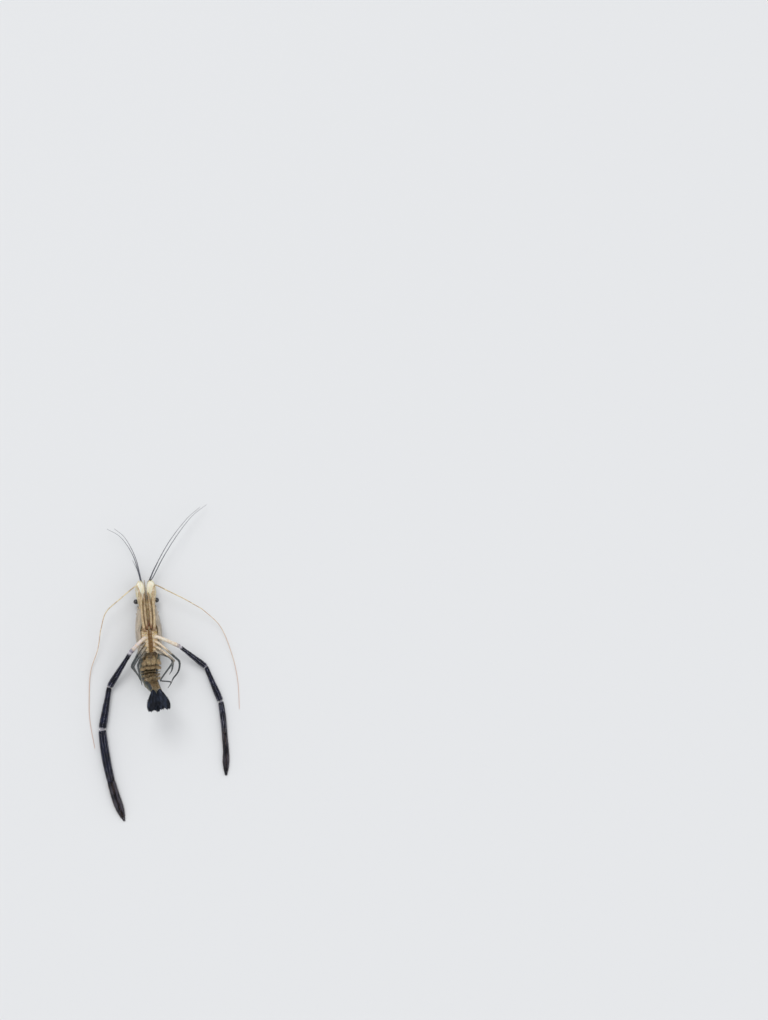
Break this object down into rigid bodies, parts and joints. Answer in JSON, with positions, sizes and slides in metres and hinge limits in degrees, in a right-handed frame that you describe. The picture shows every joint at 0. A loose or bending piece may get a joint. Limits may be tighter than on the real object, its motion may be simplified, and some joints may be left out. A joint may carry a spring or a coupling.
{
  "type": "giant river prawn",
  "caption": "Life-size museum model of a long-clawed male river prawn lying on its back, with long claws, feelers, folded legs and a curled tail.",
  "frame": {"origin": "middle of the flat of the carapace's back that rests on the floor", "axes": "+Y towards the head along the body, +Z out of the belly, +X towards the prawn's left side"},
  "size_m": [0.2123, 0.4392, 0.081],
  "materials": {
    "shell": "satin translucent shell, olive brown to grey",
    "belly": "cream and tan skin with brown lines",
    "claw_blue": "deep blue to black shell set with small spines",
    "claw_joint": "pale shell, cream to lilac",
    "leg": "grey blue shell, paler at the base",
    "pale_leg": "cream shell",
    "feeler_dark": "slate",
    "feeler_pale": "tan to pink",
    "scale_cream": "cream, thin and translucent",
    "mouth_brown": "brown",
    "eye_black": "glossy black",
    "fan_blue": "blue black blades",
    "pleopod_yellow": "yellowish brown, thin"
  },
  "bodies": {
    "root": {"carapace": "shell", "rostrum": "shell", "sternum": "belly", "head": "belly", "abdomen_1": "shell", "abdomen_2": "shell", "abdomen_3": "shell", "abdomen_4": "shell", "abdomen_5": "shell", "abdomen_6": "shell", "telson": "fan_blue", "uropod_endopod_left": "fan_blue", "uropod_endopod_right": "fan_blue", "uropod_exopod_left": "fan_blue", "uropod_exopod_right": "fan_blue", "pleopod1_left": "pleopod_yellow", "pleopod1_right": "pleopod_yellow", "pleopod2_left": "pleopod_yellow", "pleopod2_right": "pleopod_yellow", "pleopod3_left": "pleopod_yellow", "pleopod3_right": "pleopod_yellow", "pleopod4_left": "pleopod_yellow", "pleopod4_right": "pleopod_yellow", "pleopod5_left": "pleopod_yellow", "pleopod5_right": "pleopod_yellow", "eyestalk_left": "belly", "eyestalk_right": "belly", "eye_left": "eye_black", "eye_right": "eye_black", "antennule_left": "feeler_dark", "antennule_right": "feeler_dark", "antenna_left": "feeler_pale", "antenna_right": "feeler_pale", "antenna_tip_left": "feeler_pale", "antenna_tip_right": "feeler_pale", "antennal_scale_left": "scale_cream", "antennal_scale_right": "scale_cream", "mouthparts": "mouth_brown", "maxilliped_left": "pale_leg", "maxilliped_right": "pale_leg", "pereiopod1_left": "pale_leg", "pereiopod1_right": "pale_leg", "claw_left_ischium": "claw_joint", "claw_left_merus": "claw_blue", "claw_left_carpus": "claw_blue", "claw_left_palm": "claw_blue", "claw_left_dactyl": "claw_blue", "claw_right_ischium": "claw_joint", "claw_right_merus": "claw_blue", "claw_right_carpus": "claw_blue", "claw_right_palm": "claw_blue", "claw_right_dactyl": "claw_blue", "pereiopod3_left": "leg", "pereiopod3_right": "leg", "pereiopod4_left": "leg", "pereiopod4_right": "leg", "pereiopod5_left": "leg", "pereiopod5_right": "leg"}
  },
  "joints": []
}
